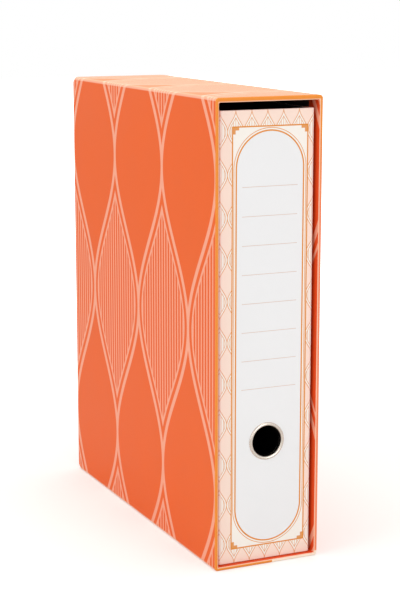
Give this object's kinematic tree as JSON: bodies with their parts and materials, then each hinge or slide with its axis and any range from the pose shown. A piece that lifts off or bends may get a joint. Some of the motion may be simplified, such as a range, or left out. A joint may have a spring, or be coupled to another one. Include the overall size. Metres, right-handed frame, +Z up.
{
  "type": "lever arch file in slipcase",
  "caption": "Upright lever arch file with a finger ring in its spine, sliding out of an open-fronted printed board slipcase.",
  "frame": {"origin": "middle of the slipcase's underside, on the surface it stands on", "axes": "+Z up along the spine, -Y out of the slipcase's open mouth, X across the spine"},
  "size_m": [0.086, 0.29, 0.35],
  "materials": {
    "case_paper": "satin laminated print on board",
    "cover_paper": "satin laminated print on board",
    "nickel": "bright nickel plate",
    "steel": "plain plated steel",
    "black_plastic": "fine matt"
  },
  "bodies": {
    "slipcase": {"slipcase": "case_paper"},
    "file": {"file_cover": "cover_paper", "finger_ring": "nickel", "ring_washer": "steel", "base_plate": "nickel", "post_upper": "nickel", "post_lower": "nickel", "lever_pin": "steel", "base_rivet_1": "steel", "base_rivet_2": "steel", "base_rivet_3": "steel", "base_rivet_4": "steel"},
    "lever": {"lever": "nickel", "roller_pin": "steel"},
    "roller": {"cam_roller": "steel"},
    "arches": {"arch_wire": "nickel"},
    "bar": {"compressor_bar": "black_plastic"}
  },
  "joints": [
    {"name": "binder_slide", "type": "slide", "parent": "slipcase", "child": "file", "axis": [0, -1, 0], "range_m": [0, 0.3]},
    {"name": "lever_pivot", "type": "hinge", "parent": "file", "child": "lever", "pos_m": [-0.02745, -0.09975, 0.19175], "axis": [0, 1, 0], "range_deg": [0, 52]},
    {"name": "arch_tilt", "type": "hinge", "parent": "file", "child": "arches", "pos_m": [-0.0325, -0.11075, 0.17175], "axis": [0, 0, -1], "range_deg": [0, 26]},
    {"name": "roller_spin", "type": "hinge", "parent": "lever", "child": "roller", "pos_m": [-0.02745, -0.09975, 0.20375], "axis": [0, 1, 0], "continuous": true},
    {"name": "bar_slide", "type": "slide", "parent": "file", "child": "bar", "axis": [1, 0, 0], "range_m": [0, 0.028]}
  ],
  "couplings": [
    {"joint": "arch_tilt", "follows": "lever_pivot", "ratio": 0.5}
  ]
}
